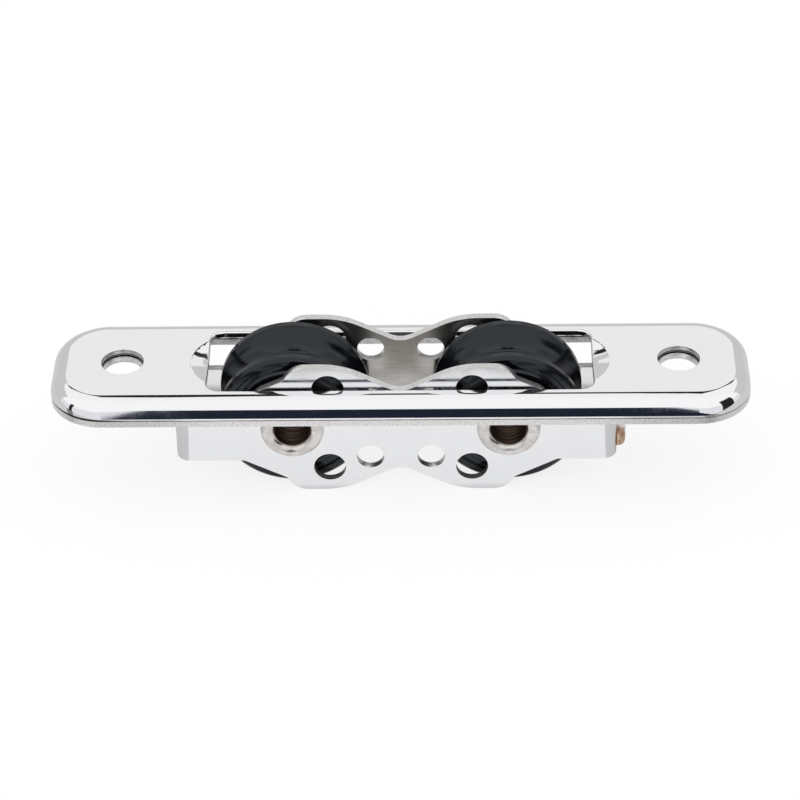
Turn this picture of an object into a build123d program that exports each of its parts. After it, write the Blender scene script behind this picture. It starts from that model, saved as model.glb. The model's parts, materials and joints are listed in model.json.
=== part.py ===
from build123d import *
import os
from math import cos, pi, radians, sin, tan

# Frame: X runs along the block, Y across it (front is -Y) and Z up.
# The origin is the middle of the two screw holes, on the cover's top face.

# Sheaves and where they sit
sheave_r = 11.0
sheave_width = 10.0
sheave_proud = 3.8
axle_x = 15.8
axle_z = sheave_proud - sheave_r

# Sheave rim, rope groove and side faces
groove_width = 7.2
groove_depth = 2.2
rim_land = 0.95
rim_shoulder_drop = 0.45
side_ring = 0.75
side_recess_depth = 0.35
side_recess_slope = 0.3
side_recess_wall = 0.5

# Roller bearing inside each sheave
race_outer_r = 4.6
roller_r = 1.25
roller_play = 0.06
roller_end_play = 0.15
roller_count = 12
shield_thickness = 0.5
shield_seat_depth = 1.0
shield_overlap = 0.7
shield_race_gap = 0.2
shield_fit = 0.03

# Hollow axle rivets
rivet_bore_r = 2.55
rivet_shank_r = 3.2
rivet_hole_gap = 0.05
head_r = 4.65
head_height = 1.2
head_edge = 0.2

# Folded side plates
plate_t = 1.2
sheave_side_gap = 0.8
bend_r = 0.9
end_gap = 3.7
lap_gap = 0.1
flange_reach = 4.2
flange_step = 0.65
flange_corner_r = 1.4
flange_taper = 1.7

# Side plate outline: heights from the axle, and runs along it from the waist to the end
lobe_margin = 0.1
ear_drop = 0.5
waist_apex = 6.75
slope_deg = 27.0
waist_round = 3.7
lobe_back_round = 12.0
lobe_run = 6.96
lobe_tip_round = 3.2
foot_round = 1.0
shoulder_round = 1.0
fold_root = 0.02

# Its lower ends: the lobe's foot, then a slope down to a deep shoulder
low_foot_run = 1.2
low_slope_run = 6.3
low_shoulder = 5.75

# Its upper ends: foot and brow, dropped from the lobe's top, then a shoulder clear of the cover
high_foot_run = 1.5
high_foot_drop = 2.7
brow_run = 3.5
brow_drop = 4.35
brow_round = 1.5
high_slope_run = 4.5
high_shoulder = 1.6

# Lashing holes in the lobes of the side plates
big_hole_r = 2.35
big_hole_x = 10.45
big_hole_z = 7.0
small_hole_r = 2.0
small_hole_x = 4.45
small_hole_z = 5.15

# Cover plate
cover_end = 18.1
cover_corner_r = 8.0
cover_skin = 0.9
rim_roll_r = 2.6
rim_straight = 0.35
opening_end_gap = 1.3
opening_side_gap = 0.4
opening_corner_r = 2.0
opening_edge_round = 0.3
screw_inset = 10.4
screw_hole_r = 3.1

# Rope lead, a cone pressed into each end of the opening
lead_half_width = 5.3
lead_run = 2.6
lead_slope_deg = 14.0
lead_edge_round = 1.0

# Backing plate
backing_t = 1.0
backing_gap = 0.15
pad_fit = 0.5
pad_ease = 0.4
head_gap = 0.3
backing_hole_r = 2.85
side_rim = 1.0
slot_end_gap = 0.3
slot_corner_r = 3.0

# Welds
tack_r = 1.3
tack_length = 2.8
tack_drop = 3.6
deck_weld_r = 1.1
deck_weld_length = 5.6

# Length by which a cut runs past the metal
cut_past = 1.0

# Sizes that follow from the ones above
race_half = sheave_width / 2 + sheave_side_gap
frame_half = race_half + plate_t
inner_wall_x = axle_x + sheave_r + end_gap
inner_end_x = inner_wall_x + plate_t
outer_end_x = inner_end_x + lap_gap + plate_t
lobe_half_height = sheave_r + lobe_margin
hollow_half_y = frame_half + head_height + head_gap
cover_length = 2 * (outer_end_x + cover_end)
cover_width = 2 * (hollow_half_y + backing_t + pad_fit + cover_skin)
pad_inset = cover_skin + pad_fit
rim_drop = rim_roll_r + rim_straight
pad_round = rim_roll_r - cover_skin - pad_ease
backing_bottom = -(rim_drop + backing_t)
cut_depth = cut_past - backing_bottom
drill_depth = 2 * (plate_t + cut_past)
pad_top = -(cover_skin + backing_gap)
pad_bottom = pad_top - backing_t
opening_half_x = axle_x + sheave_r + opening_end_gap
opening_half_y = frame_half + opening_side_gap
screw_x = cover_length / 2 - screw_inset
roller_pitch_r = race_outer_r + roller_play + roller_r
sheave_bore_r = roller_pitch_r + roller_r + roller_play
shield_outer_r = sheave_bore_r + shield_overlap


def ring(face, x):
    """Turn a profile drawn in the XY plane, x as radius and y along the axle, about one axle."""
    solid = revolve(face, Axis.Y, 360)
    return Pos(x, 0, axle_z) * solid


def corner_near(shape, x, y):
    """The vertex of a face that lies nearest to a point."""
    return shape.vertices().sort_by_distance((x, y, 0))[0]


def rounded_plan(inset, z):
    """The cover's outline, drawn in by an inset, at a height."""
    length = cover_length - 2 * inset
    width = cover_width - 2 * inset
    return Pos(0, 0, z) * RectangleRounded(length, width, cover_corner_r - inset)


def screw_holes(radius):
    """Two upright holes for the deck screws."""
    return [Pos(side * screw_x, 0, 0) * Cylinder(radius, 2 * cut_depth) for side in (-1, 1)]


def lead_cone(side, skin):
    """The cone that presses the rope lead into one end of the opening, or its underside."""
    # The cone's rim circle on the top face passes the lead's far end and both its corners.
    far = opening_half_x + lead_run
    centre_x = (far**2 - opening_half_x**2 - lead_half_width**2) / (2 * lead_run)
    slope = radians(lead_slope_deg)
    # An offset cone's rim circle moves out by this much on the offset face.
    rim_r = far - centre_x + skin * tan(slope / 2)
    above = Cylinder(rim_r, cut_past, align=(Align.CENTER, Align.CENTER, Align.MIN))
    below = Cone(0, rim_r, rim_r * tan(slope), align=(Align.CENTER, Align.CENTER, Align.MAX))
    return Pos(side * centre_x, 0, -skin) * (above + below)


def cover_plate():
    """Stainless skin with rolled edges, the long opening, rope leads and screw holes."""
    outer = extrude(rounded_plan(0, -rim_drop), rim_drop)
    outer = fillet(outer.faces().sort_by(Axis.Z)[-1].edges(), rim_roll_r)
    inner_height = rim_drop - cover_skin
    inner = extrude(rounded_plan(cover_skin, -rim_drop), inner_height)
    inner = fillet(inner.faces().sort_by(Axis.Z)[-1].edges(), rim_roll_r - cover_skin)
    for side in (-1, 1):
        outer = outer - lead_cone(side, 0)
        inner = inner - lead_cone(side, cover_skin)
        lead_end = (side * (opening_half_x + lead_run), 0, 0)
        outer = fillet(outer.edges().sort_by_distance(lead_end)[0], lead_edge_round)
    plate = outer - inner
    window = RectangleRounded(2 * opening_half_x, 2 * opening_half_y, opening_corner_r)
    plate = plate - extrude(window, cut_depth, both=True)
    # Rounding one straight edge rounds the whole edge of the opening, which runs on without corners.
    rear_edge = plate.edges().sort_by_distance((0, opening_half_y, 0))[0]
    plate = fillet(rear_edge, opening_edge_round)
    for hole in screw_holes(screw_hole_r):
        plate = plate - hole
    return plate.solids().sort_by(SortBy.VOLUME)[-1]


def backing_plate():
    """Dished second layer whose rim lies on the deck and carries the cover's edge. Only that rim
    is left beside the frame, which hangs free of it."""
    rim = extrude(rounded_plan(0, backing_bottom), backing_t)
    pad = extrude(rounded_plan(pad_inset, -rim_drop), rim_drop + pad_top)
    pad = fillet(pad.faces().sort_by(Axis.Z)[-1].edges(), pad_round)
    hollow = extrude(rounded_plan(pad_inset + backing_t, backing_bottom), pad_bottom - backing_bottom)
    plate = rim + pad - hollow
    slot_x = 2 * (opening_half_x + lead_run + slot_end_gap)
    slot_y = cover_width - 2 * side_rim
    slot = RectangleRounded(slot_x, slot_y, slot_corner_r)
    plate = plate - extrude(slot, cut_depth, both=True)
    for hole in screw_holes(backing_hole_r):
        plate = plate - hole
    return plate.solids().sort_by(SortBy.VOLUME)[-1]


def side_outline():
    """Outline of a side plate seen from the front, the same left and right."""
    slope = tan(radians(slope_deg))
    top = lobe_half_height
    back_x = (top - waist_apex) / slope
    tip_x = back_x + lobe_run
    end_x = outer_end_x + cut_past
    foot_x = tip_x + low_foot_run
    low_end = [
        (foot_x, low_shoulder + low_slope_run * slope, foot_round),
        (foot_x + low_slope_run, low_shoulder, shoulder_round),
        (end_x, low_shoulder, 0),
    ]
    foot_x = tip_x + high_foot_run
    brow_x = foot_x + brow_run
    high_end = [
        (foot_x, top - high_foot_drop, foot_round),
        (brow_x, top - brow_drop, brow_round),
        (brow_x + high_slope_run, high_shoulder, shoulder_round),
        (end_x, high_shoulder, 0),
    ]
    waist = [(0, waist_apex - ear_drop, waist_round)]
    lobe = [(back_x, top, lobe_back_round), (tip_x, top, lobe_tip_round)]
    above = [(x, z - ear_drop, r) for x, z, r in lobe] + high_end
    below = [(x, -z, r) for x, z, r in lobe + low_end]
    right = waist + above + below[::-1]
    left = [(-x, z, r) for x, z, r in below + above[::-1]]
    points = right + [(0, -waist_apex, waist_round)] + left
    face = make_face(Polyline(*[(x, z) for x, z, r in points], close=True))
    for x, z, r in points:
        if r > 0:
            face = fillet(corner_near(face, x, z), r)
    return face


def folded_sheet():
    """Plan of the front side plate: flat front, outer fold at the left, inner fold at the right."""
    points = [
        (-outer_end_x, flange_reach),
        (-outer_end_x, -frame_half),
        (inner_end_x, -frame_half),
        (inner_end_x, flange_reach),
        (inner_wall_x, flange_reach),
        (inner_wall_x, -race_half),
        (plate_t - outer_end_x, -race_half),
        (plate_t - outer_end_x, flange_reach),
    ]
    face = make_face(Polyline(*points, close=True))
    for x, y in points[1:3]:
        face = fillet(corner_near(face, x, y), bend_r + plate_t)
    for x, y in points[5:7]:
        face = fillet(corner_near(face, x, y), bend_r)
    return face


def fold_outline():
    """Outline of the folds seen from the end: full height at the plate, narrower along the fold."""
    past = lobe_half_height + cut_past
    root = fold_root - race_half
    low = low_shoulder - flange_step
    high = high_shoulder - flange_step
    points = [
        (-frame_half - cut_past, past),
        (root, past),
        (root, high_shoulder),
        (root + flange_taper, high),
        (flange_reach, high),
        (flange_reach, -low),
        (root + flange_taper, -low),
        (root, -low_shoulder),
        (root, -past),
        (-frame_half - cut_past, -past),
    ]
    face = make_face(Polyline(*points, close=True))
    for z in (high, -low):
        face = fillet(corner_near(face, flange_reach, z), flange_corner_r)
    return face


def drill(x, z, radius):
    """A drill through the front side plate, at a height from the axle."""
    return Pos(x, -frame_half, z) * Rot(90, 0, 0) * Cylinder(radius, drill_depth)


def front_side_plate():
    """One stamping: lobed plate with holes, and its two ends folded inwards."""
    sheet = extrude(folded_sheet(), lobe_half_height + cut_past, both=True)
    outline = extrude(Plane.XZ * side_outline(), 2 * frame_half, both=True)
    folds = extrude(Plane.YZ * fold_outline(), outer_end_x + cut_past, both=True)
    plate = sheet & outline & folds
    for side in (-1, 1):
        plate = plate - drill(side * axle_x, 0, rivet_shank_r + rivet_hole_gap)
        for up in (-1, 1):
            plate = plate - drill(side * big_hole_x, up * big_hole_z, big_hole_r)
            plate = plate - drill(side * small_hole_x, up * small_hole_z, small_hole_r)
    return Pos(0, 0, axle_z) * plate.solids().sort_by(SortBy.VOLUME)[-1]


def axle_rivet(x):
    """Hollow rivet whose rolled ring heads clamp both side plates against the race."""
    crest_r = (rivet_bore_r + head_r) / 2
    tip = frame_half + head_height
    edge = frame_half + head_edge
    front = ThreePointArc((rivet_bore_r, -edge), (crest_r, -tip), (head_r, -edge))
    rear = ThreePointArc((head_r, edge), (crest_r, tip), (rivet_bore_r, edge))
    outside = [
        (head_r, -edge),
        (head_r, -frame_half),
        (rivet_shank_r, -frame_half),
        (rivet_shank_r, frame_half),
        (head_r, frame_half),
        (head_r, edge),
    ]
    bore = Line((rivet_bore_r, edge), (rivet_bore_r, -edge))
    return ring(make_face(Curve() + [front, Polyline(*outside), rear, bore]), x)


def inner_race(x):
    """Sleeve on the rivet that the rollers run on. Its ends hold the side plates apart."""
    bore = rivet_shank_r + rivet_hole_gap
    points = [(bore, -race_half), (race_outer_r, -race_half), (race_outer_r, race_half), (bore, race_half)]
    return ring(make_face(Polyline(*points, close=True)), x)


def sheave_side(sign):
    """Corner points of one side of the sheave, from the rim in to the bore."""
    half = sheave_width / 2
    groove = groove_width / 2
    rim_r = sheave_r - rim_shoulder_drop
    ring_r = rim_r - side_ring
    recess_inner_r = shield_outer_r + side_recess_wall
    floor = half - side_recess_depth
    seat = half - shield_seat_depth
    points = [
        (sheave_r, groove),
        (sheave_r, groove + rim_land),
        (rim_r, half),
        (ring_r, half),
        (ring_r - side_recess_slope, floor),
        (recess_inner_r + side_recess_slope, floor),
        (recess_inner_r, half),
        (shield_outer_r, half),
        (shield_outer_r, seat),
        (sheave_bore_r, seat),
    ]
    return [(r, sign * y) for r, y in points]


def sheave(x):
    """Moulded sheave with a round rope groove, dished sides and a plain bore for the rollers."""
    front = sheave_side(-1)
    rear = sheave_side(1)
    groove = ThreePointArc(front[0], (sheave_r - groove_depth, 0), rear[0])
    face = make_face(Curve() + [groove, Polyline(*rear, *reversed(front))])
    return ring(face, x)


def rollers(x):
    """Rollers side by side round an inner race, as separate solids."""
    length = sheave_width - 2 * shield_seat_depth - 2 * roller_end_play
    along = Rot(90, 0, 0) * Cylinder(roller_r, length)
    spots = []
    for i in range(roller_count):
        angle = 2 * pi * i / roller_count
        spots.append(Pos(x + roller_pitch_r * cos(angle), 0, axle_z + roller_pitch_r * sin(angle)))
    return Compound(children=[spot * along for spot in spots])


def shield(x, side):
    """Thin ring seated in the sheave's side that keeps the rollers in."""
    inner = race_outer_r + shield_race_gap
    outer = shield_outer_r - shield_fit
    start = sheave_width / 2 - shield_seat_depth
    end = start + shield_thickness
    points = [(inner, side * start), (outer, side * start), (outer, side * end), (inner, side * end)]
    return ring(make_face(Polyline(*points, close=True)), x)


def quarter_bead(radius, length):
    """Weld bead in a corner: a round-ended rod along Z, kept only where x > 0 and y < 0."""
    straight = length - 2 * radius
    rod = Cylinder(radius, straight)
    rod = rod + Pos(0, 0, straight / 2) * Sphere(radius) + Pos(0, 0, -straight / 2) * Sphere(radius)
    keep = Pos(radius, -radius, 0) * Box(2 * radius, 2 * radius, 2 * length)
    return (rod & keep).solids()[0]


def seam_weld():
    """Tack at the right end, where the rear plate's fold laps over the front plate's."""
    place = Pos(inner_end_x, -flange_reach, axle_z - tack_drop)
    return place * quarter_bead(tack_r, tack_length)


def deck_bead(x):
    """Bead above one axle, from the front side plate's outer face to the cover's underside."""
    bead = Rot(0, 90, 0) * quarter_bead(deck_weld_r, deck_weld_length)
    return Pos(x, -frame_half, -cover_skin) * bead


def half_turned(shape):
    """The same piece turned half a turn about the upright axis."""
    return Rot(0, 0, 180) * shape


def build():
    """Every piece of the block by name."""
    front = front_side_plate()
    tack = seam_weld()
    parts = {
        "cover_plate": cover_plate(),
        "backing_plate": backing_plate(),
        "front_side_plate": front,
        "rear_side_plate": half_turned(front),
        "right_seam_weld": tack,
        "left_seam_weld": half_turned(tack),
    }
    for name, x in (("left", -axle_x), ("right", axle_x)):
        parts[f"{name}_axle_rivet"] = axle_rivet(x)
        parts[f"{name}_inner_race"] = inner_race(x)
        parts[f"{name}_sheave"] = sheave(x)
        parts[f"{name}_rollers"] = rollers(x)
        beads = [deck_bead(x), half_turned(deck_bead(-x))]
        parts[f"{name}_deck_weld"] = Compound(children=beads)
        for end, side in (("front", -1), ("rear", 1)):
            parts[f"{name}_{end}_shield"] = shield(x, side)
    return parts


os.makedirs("parts", exist_ok=True)
for node, shape in build().items():
    export_step(shape, f"parts/{node}.step")
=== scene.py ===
import json
from math import cos, radians, sin

import bpy
import numpy as np
from mathutils import Matrix, Vector


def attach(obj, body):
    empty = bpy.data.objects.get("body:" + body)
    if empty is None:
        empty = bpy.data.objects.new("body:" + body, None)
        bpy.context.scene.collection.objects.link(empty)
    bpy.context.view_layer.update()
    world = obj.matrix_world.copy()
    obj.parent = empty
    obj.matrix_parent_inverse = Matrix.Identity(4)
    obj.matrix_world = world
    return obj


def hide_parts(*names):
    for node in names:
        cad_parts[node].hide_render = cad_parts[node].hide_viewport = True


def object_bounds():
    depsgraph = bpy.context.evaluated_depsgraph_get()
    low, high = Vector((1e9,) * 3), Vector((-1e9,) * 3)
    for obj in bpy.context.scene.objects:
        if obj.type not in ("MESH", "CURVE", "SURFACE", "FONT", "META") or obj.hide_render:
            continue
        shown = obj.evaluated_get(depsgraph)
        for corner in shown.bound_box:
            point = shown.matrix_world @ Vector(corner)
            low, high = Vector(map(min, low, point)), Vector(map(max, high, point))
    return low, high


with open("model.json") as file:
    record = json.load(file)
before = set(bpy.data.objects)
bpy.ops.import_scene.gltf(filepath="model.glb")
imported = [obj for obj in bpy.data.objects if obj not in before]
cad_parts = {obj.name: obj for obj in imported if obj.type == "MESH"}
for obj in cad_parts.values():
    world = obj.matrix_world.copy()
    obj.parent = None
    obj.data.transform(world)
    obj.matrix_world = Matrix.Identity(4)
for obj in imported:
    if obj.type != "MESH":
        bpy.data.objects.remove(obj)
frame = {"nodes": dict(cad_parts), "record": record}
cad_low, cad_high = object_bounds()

MM = 0.001
DEGREES = 180 / np.pi
scene = bpy.context.scene
scene.view_settings.view_transform = "Standard"


class Nodes:
    """Short calls that build one node tree."""

    def __init__(self, tree):
        self.tree = tree
        tree.nodes.clear()

    def put(self, socket, value):
        """Gives a socket a value or a link."""
        if isinstance(value, bpy.types.NodeSocket):
            self.tree.links.new(value, socket)
        else:
            socket.default_value = value

    def add(self, kind, inputs=(), **settings):
        """A node of a kind, with its settings and its inputs in order or by name."""
        node = self.tree.nodes.new(kind)
        for key, value in settings.items():
            setattr(node, key, value)
        pairs = inputs.items() if isinstance(inputs, dict) else enumerate(inputs)
        for key, value in pairs:
            self.put(node.inputs[key], value)
        return node

    def math(self, operation, *values):
        """A Math node's result."""
        return self.add("ShaderNodeMath", values, operation=operation).outputs[0]

    def chain(self, operation, values):
        """One operation carried through a row of numbers."""
        result = values[0]
        for value in values[1:]:
            result = self.math(operation, result, value)
        return result

    def times(self, *values):
        """The product of some numbers or masks."""
        return self.chain("MULTIPLY", values)

    def plus(self, *values):
        """The sum of some numbers."""
        return self.chain("ADD", values)

    def minus(self, a, b):
        """What is left of a without b."""
        return self.math("SUBTRACT", a, b)

    def most(self, *values):
        """The largest of some numbers, or several masks as one."""
        return self.chain("MAXIMUM", values)

    def size(self, value):
        """A number without its sign."""
        return self.math("ABSOLUTE", value)

    def length(self, *parts):
        """The distance that parts at right angles to each other make."""
        squares = [self.times(part, part) for part in parts]
        return self.math("POWER", self.plus(*squares), 0.5)

    def ramp(self, value, low, high, start=0.0, end=1.0):
        """From start at low to end at high, in a straight line between them."""
        return self.add("ShaderNodeMapRange", (value, low, high, start, end)).outputs[0]

    def step(self, value, low, high):
        """0 at low and 1 at high, with a soft change between."""
        inputs = (value, low, high, 0.0, 1.0)
        return self.add("ShaderNodeMapRange", inputs, interpolation_type="SMOOTHSTEP").outputs[0]

    def above(self, value, limit, soft):
        """1 above a limit and 0 below it, changing over soft on either side."""
        return self.step(value, limit - soft, limit + soft)

    def below(self, value, limit, soft):
        """1 below a limit and 0 above it, changing over soft on either side."""
        return self.step(value, limit + soft, limit - soft)

    def between(self, value, low, high, soft):
        """1 from low to high, and 0 outside them, with soft edges."""
        return self.times(self.above(value, low, soft), self.below(value, high, soft))

    def mix(self, factor, a, b):
        """A colour between a and b."""
        return self.add("ShaderNodeMix", {0: factor, 6: a, 7: b}, data_type="RGBA").outputs[2]

    def blend(self, factor, a, b):
        """A number between a and b."""
        return self.add("ShaderNodeMix", {0: factor, 2: a, 3: b}, data_type="FLOAT").outputs[0]

    def split(self, vector):
        """The three numbers of a vector."""
        return self.add("ShaderNodeSeparateXYZ", (vector,)).outputs[:]

    def place(self, scale=(1, 1, 1)):
        """Object coordinates in millimetres, stretched by a scale."""
        coords = self.add("ShaderNodeTexCoord").outputs["Object"]
        stretch = tuple(s / MM for s in scale)
        return self.add("ShaderNodeMapping", {"Vector": coords, "Scale": stretch}).outputs[0]

    def facing(self):
        """The sizes of the surface normal's three parts."""
        normal = self.add("ShaderNodeTexCoord").outputs["Normal"]
        return [self.size(part) for part in self.split(normal)]

    def noise(self, where, scale, detail=3.0, roughness=0.5):
        """A noise pattern between 0 and 1, with its scale in lumps per millimetre."""
        inputs = {"Vector": where, "Scale": scale, "Detail": detail, "Roughness": roughness}
        return self.add("ShaderNodeTexNoise", inputs).outputs["Fac"]

    def relief(self, height):
        """A bumped normal from heights in millimetres."""
        inputs = {"Height": height, "Strength": 1.0, "Distance": MM}
        return self.add("ShaderNodeBump", inputs).outputs[0]


def rgb(r, g, b):
    """A colour with full alpha."""
    return (r, g, b, 1.0)


def shaded(colour, strength):
    """A colour made darker or lighter."""
    return rgb(*[part * strength for part in colour])


def new_material(name):
    """An empty material and the calls that build its nodes."""
    material = bpy.data.materials.new(name)
    material.use_nodes = True
    return material, Nodes(material.node_tree)


def finish_material(n, shade, rough, height, **more):
    """A Principled surface from its colour, roughness and heights in millimetres."""
    inputs = {"Base Color": shade, "Roughness": rough, "Normal": n.relief(height), **more}
    surface = n.add("ShaderNodeBsdfPrincipled", inputs)
    n.add("ShaderNodeOutputMaterial", (surface.outputs[0],))


# Camera, fitted to the photo: where it stands from the cover's middle, and its lens
camera_distance = 470.6 * MM
camera_elevation = radians(35)
camera_yaw = radians(-1.12)
camera_roll = radians(-1.02)
camera_lens_mm, camera_sensor_mm = 144.7, 36
camera_near, camera_far = 0.02, 20
# The cover's middle shows this far right of and above the picture's middle
aim_right = 0.02 * MM
aim_up = 5.85 * MM


def make_camera():
    """Camera that looks down at the block from the front, as the photo does."""
    flat = cos(camera_elevation)
    forward = Vector((sin(camera_yaw) * flat, cos(camera_yaw) * flat, -sin(camera_elevation)))
    level = forward.cross(Vector((0, 0, 1))).normalized()
    upright = level.cross(forward)
    right = cos(camera_roll) * level + sin(camera_roll) * upright
    up = cos(camera_roll) * upright - sin(camera_roll) * level
    place = -forward * camera_distance
    aim = -aim_right * right - aim_up * up
    back = (place - aim).normalized()
    side = up.cross(back).normalized()
    top = back.cross(side)
    turn = Matrix((side, top, back)).transposed().to_4x4()
    data = bpy.data.cameras.new("camera")
    data.lens = camera_lens_mm
    data.sensor_width = camera_sensor_mm
    data.clip_start = camera_near
    data.clip_end = camera_far
    camera = bpy.data.objects.new("camera", data)
    camera.matrix_world = Matrix.Translation(place) @ turn
    scene.collection.objects.link(camera)
    scene.camera = camera


# Studio, as directions in degrees: turned from the front towards the right, and above
# the horizon
front_half = 98
front_low_top = 17
wall_top = 38
window_half, window_foot = 16, 29
bar_half, bar_foot, bar_top = 11.5, 39.5, 53
wing_half, wing_top = 24, 43.5
gap_half, gap_foot, gap_top = 90, -38, 26
sill_from, sill_to, sill_top = 5, 46, -9
stand_from, stand_to, stand_top = -72, -65, 24
panel_from, panel_to, panel_top = 52, 78, 36
# Where the gap tapers and how much higher the bar gets at its ends, by the sideways part
# of the direction
gap_left_end, gap_left_full = -0.1112, -0.0985
gap_right_full, gap_right_end = 0.0695, 0.082
gap_left_soft = 0.002
rise_left_full, rise_left_end = -0.118, -0.03
rise_right_end, rise_right_full = 0.055, 0.09
bar_left_rise, bar_right_rise = 15, 9
# How bright the zones are, where 1 is white, and the tints of the low front and the gap
wall_grey, window_pale, ceiling_white = 0.63, 0.93, 1.0
front_low_pale, front_white = 0.85, 1.04
nearly_black = 0.02
plain = rgb(1, 1, 1)
front_low_tint = rgb(0.98, 0.975, 1.02)
gap_tint = rgb(0.7, 0.95, 1.6)


def bar_behind(n, x, height, behind):
    """Dark bar high at the back, higher towards both ends, with a lower wing on each side."""
    higher = n.plus(n.ramp(x, rise_left_full, rise_left_end, bar_left_rise, 0.0),
                    n.ramp(x, rise_right_end, rise_right_full, 0.0, bar_right_rise))
    top = n.plus(n.ramp(behind, bar_half, bar_half + 1, bar_top, wing_top),
                 n.times(higher, n.step(behind, bar_half + 0.5, bar_half)))
    return n.times(n.above(n.minus(top, height), 0, 0.5),
                   n.above(height, bar_foot, 0.5), n.below(behind, wing_half, 3))


def gap_in_front(n, x, height, turn, off):
    """Dark gap in front, tapered at its left, whose right end runs out in a falling sill."""
    left_top = n.ramp(x, gap_left_end, gap_left_full, gap_foot, gap_top)
    right_top = n.plus(n.ramp(x, gap_right_full, gap_right_end, gap_top, sill_top),
                       n.ramp(turn, sill_from, sill_to, 0.0, gap_foot - sill_top))
    top = n.math("MINIMUM", left_top, right_top)
    from_left = n.step(x, gap_left_end - gap_left_soft, gap_left_end)
    return n.times(n.below(n.minus(height, top), 0, 1.5), from_left,
                   n.below(turn, sill_to, 1), n.below(off, gap_half, 1))


def make_world():
    """Soft studio round the block, white above and pale grey at the sides and back.

    Each zone is a range of turns and heights of the direction. A lighter window
    straight behind, a dark gap in front, a dark bar high at the back, a stand at the
    left and a panel at the right give the polished steel something to show. The
    camera itself sees plain white.
    """
    world = bpy.data.worlds.new("studio")
    scene.world = world
    world.use_nodes = True
    n = Nodes(world.node_tree)
    x, y, z = n.split(n.add("ShaderNodeTexCoord").outputs["Generated"])
    height = n.times(n.math("ARCSINE", z), DEGREES)
    turn = n.times(n.math("ARCTAN2", x, n.times(y, -1.0)), DEGREES)
    off = n.size(turn)
    behind = n.minus(180.0, off)

    window = n.times(n.below(behind, window_half, 0.4), n.above(height, window_foot, 0.4))
    back = n.blend(window, wall_grey, window_pale)
    back = n.blend(n.above(height, wall_top, 0.5), back, ceiling_white)
    front = n.blend(n.above(height, front_low_top, 2), front_low_pale, front_white)
    level = n.blend(n.above(off, front_half, 1), front, back)

    bar = bar_behind(n, x, height, behind)
    gap = gap_in_front(n, x, height, turn, off)
    stand = n.times(n.between(turn, stand_from, stand_to, 0.4), n.below(height, stand_top, 2))
    panel = n.times(n.between(turn, panel_from, panel_to, 0.7), n.below(height, panel_top, 2))
    level = n.blend(n.most(bar, gap, stand, panel), level, nearly_black)

    front_low = n.times(n.below(off, front_half - 1, 1), n.below(height, front_low_top - 2, 2))
    tint = n.mix(gap, n.mix(front_low, plain, front_low_tint), gap_tint)
    room = n.add("ShaderNodeBackground", (tint, level))
    white = n.add("ShaderNodeBackground", (plain, 1.0))
    seen = n.add("ShaderNodeLightPath").outputs["Is Camera Ray"]
    both = n.add("ShaderNodeMixShader", (seen, room.outputs[0], white.outputs[0]))
    n.add("ShaderNodeOutputWorld", (both.outputs[0],))


# White table under the block, whose front edge is close to it
table_front = 38.5 * MM
table_reach = 900 * MM
paper_white = rgb(0.9, 0.9, 0.9)
# How much of its white is plain light, and how bright that is, as the camera sees it
seen_share, seen_level = 0.78, 1.06
# To polished steel alone it shows painted reflections: white in front of the block and pale grey
# behind and beside it
mirrored_share, mirrored_grey, mirrored_white = 0.75, 0.62, 1.0
light_from, light_half = -7.6, 34
# It also shows a painted dark reflection of a mat at the right, and of the foot of the stand,
# which lies beyond the left end in a range of directions from a corner of the cover
mat_reflection_from, mat_reflection_to, mat_reflection_front = 50, 63, -22
cover_corner = (49, 7)
foot_reflection_from, foot_reflection_to, foot_reflection_beyond = -76, -61, -53


def table_white(name):
    """White paper that keeps the block's shadow, clear from below, and shows polished steel
    painted reflections, with places in millimetres.
    """
    material, n = new_material(name)
    path = n.add("ShaderNodeLightPath")
    seen, mirrored = path.outputs["Is Camera Ray"], path.outputs["Is Glossy Ray"]
    x, y, _ = n.split(n.place())
    # Painted reflections, seen by glossy rays only: white in front, grey elsewhere, dark at the
    # mat and at the stand's foot
    lit = n.times(n.below(y, light_from, 1), n.below(n.size(x), light_half, 1.5))
    corner_x, corner_y = n.plus(x, cover_corner[0]), n.plus(y, cover_corner[1])
    direction = n.times(n.math("ARCTAN2", corner_x, n.times(corner_y, -1.0)), DEGREES)
    foot = n.times(n.between(direction, foot_reflection_from, foot_reflection_to, 0.6), n.below(x, foot_reflection_beyond, 1))
    mat_reflection = n.times(n.between(x, mat_reflection_from, mat_reflection_to, 1.0), n.below(y, mat_reflection_front, 1))
    level = n.blend(n.most(foot, mat_reflection), n.blend(lit, mirrored_grey, mirrored_white), nearly_black)
    level = n.blend(seen, level, seen_level)
    paper = n.add("ShaderNodeBsdfDiffuse", (paper_white,))
    glow = n.add("ShaderNodeEmission", (plain, level))
    share = n.most(n.times(seen, seen_share), n.times(mirrored, mirrored_share))
    top = n.add("ShaderNodeMixShader", (share, paper.outputs[0], glow.outputs[0]))
    below = n.add("ShaderNodeNewGeometry").outputs["Backfacing"]
    clear = n.add("ShaderNodeBsdfTransparent")
    both = n.add("ShaderNodeMixShader", (below, top.outputs[0], clear.outputs[0]))
    n.add("ShaderNodeOutputMaterial", (both.outputs[0],))
    return material


def make_table():
    """Plain white table top with the block's lowest point on it."""
    level = cad_low.z
    corners = [
        (-table_reach, -table_front, level),
        (table_reach, -table_front, level),
        (table_reach, table_reach, level),
        (-table_reach, table_reach, level),
    ]
    mesh = bpy.data.meshes.new("table_top")
    mesh.from_pydata(corners, [], [(0, 1, 2, 3)])
    mesh.materials.append(table_white("table_white"))
    table = bpy.data.objects.new("table_top", mesh)
    scene.collection.objects.link(table)


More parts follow.
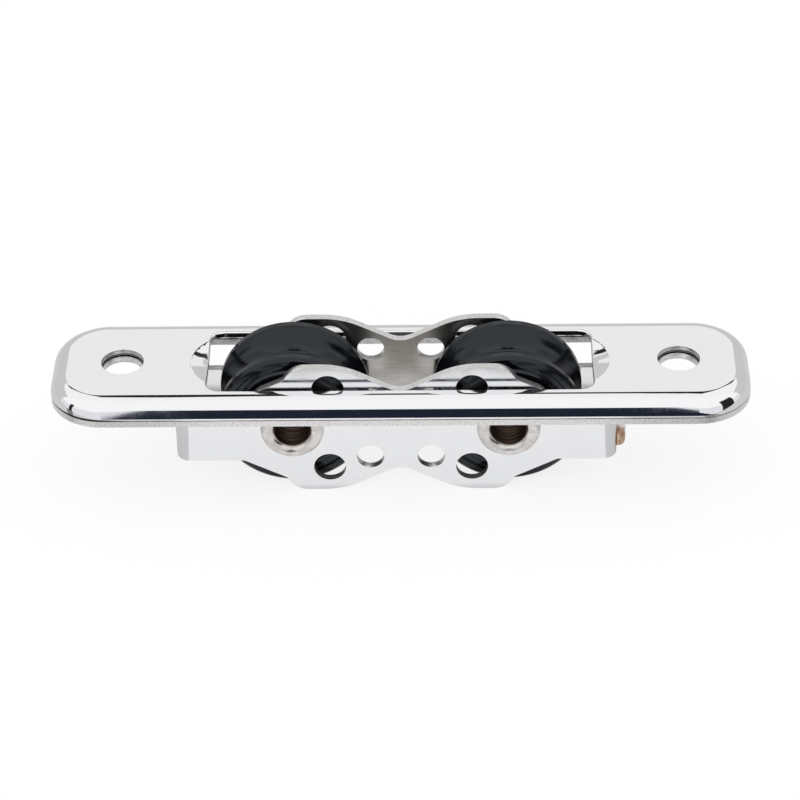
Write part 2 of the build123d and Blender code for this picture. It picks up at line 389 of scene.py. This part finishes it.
# Places on the block that the finishes need, in millimetres from the cover's middle
axle_x, axle_drop = 15.8, 7.2
seam_x, seam_y, seam_drop, seam_shorter = 31.7, 4.2, 10.8, 0.8
plate_inner_face = 5.8
fold_from, fold_edge = 29.5, 4.4
lobe_end, top_edge_from = 22.75, -5.0
# Inner faces of the side plates nearer the middle than this, or lower than this, are unpolished
# and darkened as painted shade
shaded_unpolished_half, shaded_unpolished_top = 22.0, -8.8
rivet_bore = 2.62
opening_half, screw_hole_from, screw_hole_to = 30.5, 36.0, 46.0
inside_rim, rim_from_x, rim_from_y = 8.1, 45.0, 8.8
hole_foot_from, hole_foot_full = -0.55, -0.7
lip_drop = 2.95
# Painted shade in the seam under the lower lip is thickest at this corner, left of and in front of
# the middle
seam_shade_left, seam_shade_front, seam_shade_reach = 46.5, 9.5, 8.0
seam_shade_thin, seam_shade_thick = 0.1, 0.36
# How much of a face's normal has to point sideways or up for the face to count as such
sideways, upwards, facing_soft = 0.6, 0.45, 0.15


def cut_by_height(n):
    """Every face of a flat sheet that stands upright: its cut edges and the walls of its holes."""
    return n.below(n.facing()[2], 0.25, 0.1)


def cut_outline(n):
    """Cut edges of a folded side plate.

    On the flat part they face away from front and back, on the folds they face
    along the fold or up and down.
    """
    x, y, _ = n.split(n.place())
    facing = n.facing()
    flat = n.below(n.size(x), fold_from, 0.1)
    fold_end = n.below(n.size(y), fold_edge, 0.1)
    on_flat = n.times(flat, n.below(facing[1], sideways, facing_soft))
    on_fold = n.times(n.minus(1.0, flat), fold_end, n.above(facing[1], sideways, facing_soft))
    return n.most(n.above(facing[2], upwards, facing_soft), on_flat, on_fold)


def top_edge(n):
    """Upper edges of a side plate beside its lobes, rubbed bright where the cover lies on them."""
    x, _, z = n.split(n.place())
    beside = n.times(n.above(n.size(x), lobe_end, 0.75), n.above(z, top_edge_from, 1))
    return n.times(beside, n.above(n.facing()[2], upwards, facing_soft))


def shade_between_sheaves(n):
    """Inner faces of the side plates between and below the sheaves: unpolished, and darkened as
    painted shade.
    """
    x, y, z = n.split(n.place())
    inner = n.times(n.below(n.size(y), plate_inner_face + 0.2, 0.1),
                    n.above(n.facing()[1], sideways + 0.05, facing_soft))
    near_or_low = n.most(n.below(n.size(x), shaded_unpolished_half, 2), n.below(z, shaded_unpolished_top, 0.6))
    return n.times(inner, near_or_low)


def from_axle(n):
    """Distance from the nearer sheave's axle, in millimetres."""
    x, _, z = n.split(n.place())
    return n.length(n.minus(n.size(x), axle_x), n.plus(z, axle_drop))


def from_seam(n):
    """Distance from the nearer seam weld in millimetres, counted shorter along the weld."""
    x, y, z = n.split(n.place())
    dx = n.minus(n.size(x), seam_x)
    dy = n.plus(n.times(y, n.math("SIGN", x)), seam_y)
    dz = n.times(n.plus(z, seam_drop), seam_shorter)
    return n.length(dx, dy, dz)


def waves(n, where, height):
    """Slow unevenness of a polished face, in swells about 6 mm long."""
    return n.times(n.noise(where, 0.16, 1), height)


# Colours, roughness and heights in millimetres of the sheet where it isn't polished;
# the drawn colours are also darkened as painted shade
drawn_shade_dark, drawn_shade_light = rgb(0.58, 0.565, 0.53), rgb(0.68, 0.665, 0.635)
cut_dark, cut_light = rgb(0.64, 0.62, 0.6), rgb(0.93, 0.925, 0.915)
rubbed_bright, rubbed_metal = rgb(0.95, 0.95, 0.945), 0.35
drawn_rough, drawn_height = 0.24, 0.0012
cut_rough, cut_height = 0.36, 0.014
# How far from a weld each colour of its heat reaches, in millimetres, from the outside in
heat_bands = (
    (2.9, rgb(0.78, 0.72, 0.62)),
    (2.45, rgb(0.62, 0.43, 0.28)),
    (2.1, rgb(0.33, 0.32, 0.33)),
)


def steel(name, colour, polish, wave, scratch, cut=None, dull=None, worn=None, heat=False):
    """Stainless sheet with fine scratches, faint waves and a grainy cut edge.

    polish is the roughness of the faces, wave the height in millimetres of slow
    unevenness and scratch that of the fine marks. cut, dull and worn are functions
    that find the cut edges, the unpolished faces, whose colour is also darkened as
    painted shade, and the edges rubbed bright, and heat adds the colours that a weld
    leaves beside it.
    """
    material, n = new_material(name)
    where = n.place()
    smear = n.step(n.noise(where, 0.3, 4), 0.35, 0.7)
    streaks = n.noise(n.place((0.07, 2.6, 2.6)), 2.2, 3)
    nicks = n.step(n.noise(n.place((2.1, 0.3, 0.9)), 2.4, 2), 0.66, 0.74)
    shade = n.mix(smear, shaded(colour, 0.97), rgb(*colour))
    rough = n.plus(n.blend(smear, polish, polish * 1.6), n.times(nicks, polish * 0.8))
    height = n.plus(waves(n, where, wave), n.times(streaks, scratch))
    metal = 1.0
    if dull:
        bare_and_shaded = dull(n)
        drawn = n.step(n.noise(n.place((0.3, 1, 4.0)), 1.4, 4), 0.3, 0.7)
        # Painted shade: the inner faces between and below the sheaves are darkened, with a drawn
        # grain
        shade = n.mix(bare_and_shaded, shade, n.mix(drawn, drawn_shade_dark, drawn_shade_light))
        rough = n.blend(bare_and_shaded, rough, drawn_rough)
        height = n.plus(height, n.times(bare_and_shaded, drawn, drawn_height))
    if heat:
        away = n.plus(from_seam(n), n.times(n.noise(where, 0.9, 3), 0.9))
        on_fold = n.below(n.size(n.split(where)[1]), plate_inner_face, 0.4)
        for reach, tone in heat_bands:
            band = n.times(on_fold, n.step(away, reach + 0.3, reach - 0.2))
            shade = n.mix(band, shade, tone)
    if cut:
        edge = cut(n)
        grain = n.noise(where, 7.0, 3, 0.6)
        specks = n.step(n.noise(where, 4.4, 3, 0.6), 0.36, 0.52)
        shade = n.mix(edge, shade, n.mix(specks, cut_dark, cut_light))
        rough = n.blend(edge, rough, cut_rough)
        height = n.plus(height, n.times(edge, grain, cut_height))
    if worn:
        rubbed = worn(n)
        shade = n.mix(rubbed, shade, rubbed_bright)
        metal = n.blend(rubbed, 1.0, rubbed_metal)
    finish_material(n, shade, rough, height, Metallic=metal)
    return material


cover_bright, cover_hazy = rgb(0.865, 0.868, 0.88), rgb(0.88, 0.88, 0.885)
hole_dark, hole_light = rgb(0.4, 0.39, 0.38), rgb(0.75, 0.73, 0.71)
# Painted shade: the dark of the long opening's walls, which stand in shadow
opening_painted_shade = rgb(0.22, 0.22, 0.225)
# Black of the painted shade at the screw holes' foot and along the lower lip
painted_shade_black = rgb(0.05, 0.047, 0.045)


def cover_steel(name):
    """Mirror-polished skin with a faint haze and fine rubs.

    The walls of the screw holes are greyer, with a painted shadow line at the foot, and those
    of the long opening are darkened as painted shade. The lower lip is darkened as painted shade
    along the seam under it.
    """
    material, n = new_material(name)
    where = n.place()
    x, y, z = n.split(where)
    haze = n.step(n.noise(where, 0.22, 4), 0.4, 0.72)
    rubs = n.step(n.noise(n.place((0.08, 1.7, 1.7)), 2.6, 3), 0.62, 0.72)
    wall = n.times(cut_by_height(n), n.below(n.size(y), inside_rim, 0.1))
    in_hole = n.times(wall, n.between(n.size(x), screw_hole_from, screw_hole_to, 0.5))
    in_opening = n.times(wall, n.below(n.size(x), opening_half, 0.5))
    shade = n.mix(haze, cover_bright, cover_hazy)
    shade = n.mix(in_hole, shade, n.mix(n.noise(where, 3.0, 3), hole_dark, hole_light))
    # Painted shade: the walls of the long opening are darkened as if in shadow
    shade = n.mix(in_opening, shade, opening_painted_shade)

    # Painted shadow: a black line at the foot of each screw hole, where the skin meets the backing
    foot = n.times(in_hole, n.step(z, hole_foot_from, hole_foot_full))
    # Painted shade along the lower lip, thickest at the front-left corner
    on_rim = n.most(n.above(n.size(x), rim_from_x, 0.5), n.above(n.size(y), rim_from_y, 0.2))
    away = n.length(n.plus(x, seam_shade_left), n.plus(y, seam_shade_front))
    thick = n.blend(n.step(away, seam_shade_reach, 1.0), seam_shade_thin, seam_shade_thick)
    reach = n.plus(thick, n.times(n.noise(where, 0.9, 2), 0.05))
    lip = n.times(n.below(n.minus(n.plus(z, lip_drop), reach), 0, 0.03), on_rim)
    shade = n.mix(n.most(foot, lip), shade, painted_shade_black)

    rough = n.plus(n.blend(haze, 0.035, 0.06), n.times(rubs, 0.03), n.times(in_hole, 0.2))
    height = n.plus(waves(n, where, 0.006), n.times(rubs, 0.00015))
    finish_material(n, shade, rough, height, Metallic=1.0)
    return material


ring_dark, ring_light = rgb(0.60, 0.57, 0.55), rgb(0.78, 0.76, 0.74)
bore_dark, bore_light = rgb(0.15, 0.11, 0.09), rgb(0.44, 0.34, 0.28)
ring_smooth, ring_dull, bore_rough = 0.16, 0.26, 0.42
# Turning marks on the ring, in radians per millimetre of radius
turning_marks = 26.0


def rivet_steel(name):
    """Rolled tube: bright worn ring outside, dark stained bore with ring marks inside."""
    material, n = new_material(name)
    where = n.place()
    radius = from_axle(n)
    bore = n.step(radius, rivet_bore + 0.12, rivet_bore)
    smear = n.step(n.noise(where, 0.8, 4), 0.3, 0.7)
    rings = n.noise(n.place((0.15, 3.4, 0.15)), 1.0, 2)
    turned = n.math("SINE", n.times(radius, turning_marks))
    ring_tone = n.mix(smear, ring_dark, ring_light)
    bore_tone = n.mix(n.step(rings, 0.42, 0.6), bore_dark, bore_light)
    shade = n.mix(bore, ring_tone, bore_tone)
    rough = n.blend(bore, n.blend(smear, ring_smooth, ring_dull), bore_rough)
    pits = n.times(n.noise(where, 4.0, 3), 0.004)
    height = n.plus(n.times(turned, 0.0006), pits, n.times(rings, bore, 0.06))
    finish_material(n, shade, rough, height, Metallic=1.0)
    return material


def plastic(name, colour, rough, swirl=0.0, gloss=(1, 1, 1)):
    """Moulded plastic with faint flow marks, and rings round the axle where a rope has run.

    swirl is how strong the rings are, and gloss is the colour of the shine.
    """
    material, n = new_material(name)
    where = n.place()
    cloud = n.noise(where, 0.45, 4)
    polar = n.add("ShaderNodeCombineXYZ", (from_axle(n), n.split(where)[1], 0.0)).outputs[0]
    rings = n.noise(polar, 5.0, 3)
    worn = n.times(n.step(rings, 0.5, 0.68), swirl)
    rubbed = rgb(*[part * 3 + 0.004 for part in colour])
    shade = n.mix(cloud, shaded(colour, 0.75), shaded(colour, 1.3))
    shade = n.mix(n.times(worn, 0.35), shade, rubbed)
    spread = n.blend(n.step(cloud, 0.3, 0.7), rough * 0.85, rough * 1.25)
    spread = n.plus(spread, n.times(worn, 0.18))
    height = n.plus(n.times(rings, swirl, 0.0012), n.times(n.noise(where, 2.5, 4), 0.0012))
    finish_material(n, shade, spread, height, **{"Specular Tint": rgb(*gloss)})
    return material


weld_brown = rgb(0.42, 0.2, 0.13)
weld_copper = rgb(0.72, 0.5, 0.36)
weld_straw = rgb(0.80, 0.68, 0.52)


def weld_metal(name):
    """Weld bead in brown, copper and straw patches, with a dull oxide skin."""
    material, n = new_material(name)
    where = n.place()
    patch = n.noise(where, 1.1, 4)
    shade = n.mix(n.step(patch, 0.35, 0.5), weld_brown, weld_copper)
    shade = n.mix(n.step(patch, 0.56, 0.66), shade, weld_straw)
    height = n.times(n.noise(where, 5.0, 3), 0.012)
    finish_material(n, shade, n.blend(patch, 0.3, 0.46), height, Metallic=1.0)
    return material


# Weld beads, in millimetres: the deck beads stand between a side plate and the cover, the
# seam beads between the two folds of an end
deck_seam_y, deck_seam_drop = 7.0, 0.9
deck_bead_length, deck_bead_radius = 5.6, 1.1
seam_bead_length, seam_bead_radius = 2.8, 1.3
bead_pitch = 0.62
bead_fill = 0.93
ripple_depth, ripple_lag = 0.07, 0.22
bead_end_power = 5
bead_rows, bead_columns = 49, 13


def bead_mesh(corners, along, walls, length, radius):
    """Points and faces of rippled weld beads, one in each corner.

    In section a bead is a quarter round between the two walls. Its radius shrinks
    to nothing at the ends as a superellipse, and swells and sinks by a sine along
    the bead, which lags at the toes so that each ripple is a crescent.
    """
    u = np.linspace(-1, 1, bead_rows)[:, None]
    v = np.linspace(0, np.pi / 2, bead_columns)[None, :]
    ends = np.sqrt(np.clip(1 - np.abs(u) ** bead_end_power, 0, 1))
    lag = ripple_lag * np.cos(2 * v) ** 2
    ripple = 1 + ripple_depth * np.sin(2 * np.pi * (u - lag) * length / bead_pitch / 2)
    reach = radius * bead_fill * ends * ripple
    # Each row is its point on the corner, followed by the round
    count = bead_columns + 1
    row = np.arange(bead_rows - 1)[:, None] * count
    here = np.arange(count)[None, :]
    after = (here + 1) % count
    quads = np.stack([row + here, row + after, row + after + count, row + here + count], axis=-1)
    quads = quads.reshape(-1, 4)
    points = []
    faces = []
    for corner, wall in zip(corners, walls):
        a, b = np.array(wall, dtype=float)
        root = np.array(corner) + u[..., None] * np.array(along) * length / 2
        ring = root + reach[..., None] * (np.cos(v)[..., None] * a + np.sin(v)[..., None] * b)
        grid = np.concatenate([np.broadcast_to(root, (bead_rows, 1, 3)), ring], axis=1)
        outward = quads if np.dot(np.cross(a, b), along) > 0 else quads[:, ::-1]
        faces.append(outward + len(points) * bead_rows * count)
        points.append(grid.reshape(-1, 3))
    return np.concatenate(points), np.concatenate(faces)


def add_beads(name, node, surface, group):
    """A piece of rippled beads that stands for a weld of the frame."""
    points, faces = surface
    mesh = bpy.data.meshes.new(name)
    mesh.from_pydata((points * MM).tolist(), [], faces.tolist())
    piece = bpy.data.objects.new(name, mesh)
    scene.collection.objects.link(piece)
    join_points(piece)
    piece.modifiers.new("smooth", "NODES").node_group = group
    mesh.materials.append(materials["weld_metal"])
    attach(piece, "frame")
    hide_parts(node)


join_distance = 0.0005 * MM
flat_angle = radians(0.2)
round_angle = radians(40)
smooth_angle = radians(30)
face_area_weight = 50


def sharp_edges():
    """Modifier group that shades faces smooth, except across sharp edges."""
    group = bpy.data.node_groups.new("sharp_edges", "GeometryNodeTree")
    for in_out in ("INPUT", "OUTPUT"):
        group.interface.new_socket("Geometry", in_out=in_out, socket_type="NodeSocketGeometry")
    nodes = group.nodes
    links = group.links
    start = nodes.new("NodeGroupInput")
    end = nodes.new("NodeGroupOutput")
    faces = nodes.new("GeometryNodeSetShadeSmooth")
    faces.domain = "FACE"
    edges = nodes.new("GeometryNodeSetShadeSmooth")
    edges.domain = "EDGE"
    angle = nodes.new("GeometryNodeInputMeshEdgeAngle")
    compare = nodes.new("FunctionNodeCompare")
    compare.data_type = "FLOAT"
    compare.operation = "LESS_EQUAL"
    compare.inputs[1].default_value = smooth_angle
    links.new(start.outputs[0], faces.inputs[0])
    links.new(faces.outputs[0], edges.inputs[0])
    links.new(angle.outputs["Unsigned Angle"], compare.inputs[0])
    links.new(compare.outputs[0], edges.inputs["Shade Smooth"])
    links.new(edges.outputs[0], end.inputs[0])
    return group


def join_points(piece):
    """Joins the points where a piece's faces meet."""
    weld = piece.modifiers.new("join_points", "WELD")
    weld.merge_threshold = join_distance


def finish_node(node, material, group, rounding):
    """Gives a CAD node its material, rounded edges and smooth shading."""
    node.data.materials.clear()
    node.data.materials.append(material)
    join_points(node)
    if rounding:
        flat = node.modifiers.new("flat_faces", "DECIMATE")
        flat.decimate_type = "DISSOLVE"
        flat.angle_limit = flat_angle
        bevel = node.modifiers.new("rounded_edges", "BEVEL")
        bevel.width = rounding * MM
        bevel.segments = 2
        bevel.limit_method = "ANGLE"
        bevel.angle_limit = round_angle
        bevel.use_clamp_overlap = True
    node.modifiers.new("sharp_edges", "NODES").node_group = group
    even = node.modifiers.new("even_normals", "WEIGHTED_NORMAL")
    even.keep_sharp = True
    even.weight = face_area_weight


make_camera()
make_world()
make_table()

materials = {
    "cover_steel": cover_steel("cover_steel"),
    "backing_steel": steel(
        "backing_steel", (0.80, 0.79, 0.785), polish=0.16, wave=0.006, scratch=0.0003,
        cut=cut_by_height,
    ),
    "side_plate_steel": steel(
        "side_plate_steel", (0.87, 0.877, 0.893), polish=0.11, wave=0.02, scratch=0.0006,
        cut=cut_outline, dull=shade_between_sheaves, worn=top_edge, heat=True,
    ),
    "rivet_steel": rivet_steel("rivet_steel"),
    "race_steel": steel(
        "race_steel", (0.7, 0.68, 0.65), polish=0.2, wave=0.002, scratch=0.0006,
    ),
    "weld_metal": weld_metal("weld_metal"),
    "sheave_black": plastic(
        "sheave_black", (0.004, 0.0046, 0.006), rough=0.16, swirl=0.45, gloss=(0.84, 0.92, 1.0),
    ),
    "roller_plastic": plastic("roller_plastic", (0.8, 0.78, 0.73), rough=0.4),
    "shield_black": plastic("shield_black", (0.012, 0.012, 0.014), rough=0.35, swirl=0.3),
}
# How far the sheared edges are rounded, in millimetres
edge_rounding = {"side_plate_steel": 0.12, "cover_steel": 0.06, "backing_steel": 0.1}
group = sharp_edges()
for piece in frame["record"]["subparts"]:
    slot = piece["material_slot"]
    finish_node(frame["nodes"][piece["node"]], materials[slot], group, edge_rounding.get(slot, 0))

for side, x in (("left", -axle_x), ("right", axle_x)):
    corners = [(x, -deck_seam_y, -deck_seam_drop), (x, deck_seam_y, -deck_seam_drop)]
    walls = [((0, -1, 0), (0, 0, -1)), ((0, 1, 0), (0, 0, -1))]
    surface = bead_mesh(corners, (1, 0, 0), walls, deck_bead_length, deck_bead_radius)
    add_beads(f"{side}_deck_beads", f"{side}_deck_weld", surface, group)
for side, turn in (("left", -1), ("right", 1)):
    corners = [(turn * seam_x, -turn * seam_y, -seam_drop)]
    walls = [((turn, 0, 0), (0, -turn, 0))]
    surface = bead_mesh(corners, (0, 0, 1), walls, seam_bead_length, seam_bead_radius)
    add_beads(f"{side}_seam_bead", f"{side}_seam_weld", surface, group)
